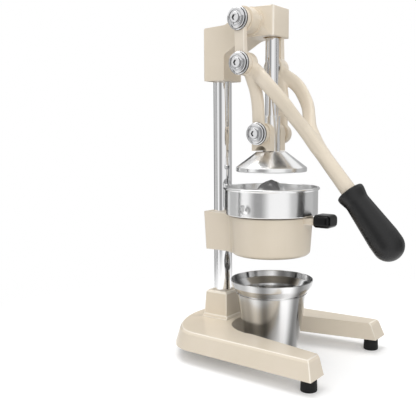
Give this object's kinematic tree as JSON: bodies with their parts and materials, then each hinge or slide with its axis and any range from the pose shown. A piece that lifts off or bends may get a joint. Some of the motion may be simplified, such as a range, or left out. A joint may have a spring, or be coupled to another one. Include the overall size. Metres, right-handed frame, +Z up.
{
  "type": "lever citrus press",
  "caption": "Table-top lever press for halved citrus fruit: a wishbone lever on side links drives a cone down over a reamer in a strainer bowl, and the juice runs into a cup.",
  "frame": {"origin": "on the table, in the middle of the whole press's plan box", "axes": "+Z up, -Y towards the front where the grip is, -X the press's left side"},
  "size_m": [0.203, 0.2912, 0.422],
  "materials": {
    "enamel": "cream enamel, semi-gloss",
    "chrome": "mirror chrome",
    "bolt_chrome": "polished chrome",
    "polished_steel": "polished stainless steel",
    "cup_steel": "finely brushed stainless steel",
    "grip_black": "satin black",
    "bumper_rubber": "glossy black rubber",
    "foot_rubber": "matt black rubber",
    "zinc": "bright zinc plate",
    "bronze": "sintered bronze"
  },
  "bodies": {
    "frame": {"base": "enamel", "foot_front_left": "foot_rubber", "foot_front_right": "foot_rubber", "foot_rear_left": "foot_rubber", "foot_rear_right": "foot_rubber", "foot_screws": "zinc", "column": "chrome", "column_bolt": "zinc", "head": "enamel", "guide_bush": "bronze", "head_set_screws": "zinc", "bowl_holder": "enamel", "holder_set_screws": "zinc", "bumper_cap": "bumper_rubber", "juice_funnel": "polished_steel", "strainer_bowl": "polished_steel", "reamer_cone": "polished_steel", "upper_bolt_left": "bolt_chrome", "upper_bolt_right": "bolt_chrome"},
    "left_link": {"link_left": "enamel", "link_bushes_left": "bronze", "middle_bolt_left": "bolt_chrome", "middle_nut_left": "bolt_chrome"},
    "right_link": {"link_right": "enamel", "link_bushes_right": "bronze", "middle_bolt_right": "bolt_chrome", "middle_nut_right": "bolt_chrome"},
    "lever": {"lever": "enamel", "grip": "grip_black"},
    "plunger": {"press_rod": "chrome", "press_cone": "polished_steel", "cone_nut": "chrome", "yoke": "enamel", "yoke_set_screw": "zinc", "lower_bolt_left": "bolt_chrome", "lower_bolt_right": "bolt_chrome"},
    "cup": {"juice_cup": "cup_steel"}
  },
  "joints": [
    {"name": "left_link_swing", "type": "hinge", "parent": "frame", "child": "left_link", "pos_m": [0, 0.04234, 0.4054], "axis": [1, 0, 0], "range_deg": [-12, 55]},
    {"name": "right_link_swing", "type": "hinge", "parent": "frame", "child": "right_link", "pos_m": [0, 0.04234, 0.4054], "axis": [1, 0, 0], "range_deg": [-12, 55]},
    {"name": "lever_turn", "type": "hinge", "parent": "left_link", "child": "lever", "pos_m": [0, 0.04077, 0.35542], "axis": [1, 0, 0], "range_deg": [-88.58, 19.33]},
    {"name": "plunger_turn", "type": "hinge", "parent": "lever", "child": "plunger", "pos_m": [0, 0.02614, 0.27474], "axis": [1, 0, 0], "range_deg": [-7.33, 33.58]},
    {"name": "cup_slide", "type": "slide", "parent": "frame", "child": "cup", "axis": [0, -1, 0], "range_m": [0, 0.2]}
  ],
  "couplings": [
    {"joint": "right_link_swing", "follows": "left_link_swing", "ratio": 1},
    {"joint": "lever_turn", "follows": "left_link_swing", "ratio": -1.6105},
    {"joint": "plunger_turn", "follows": "left_link_swing", "ratio": 0.6105}
  ]
}
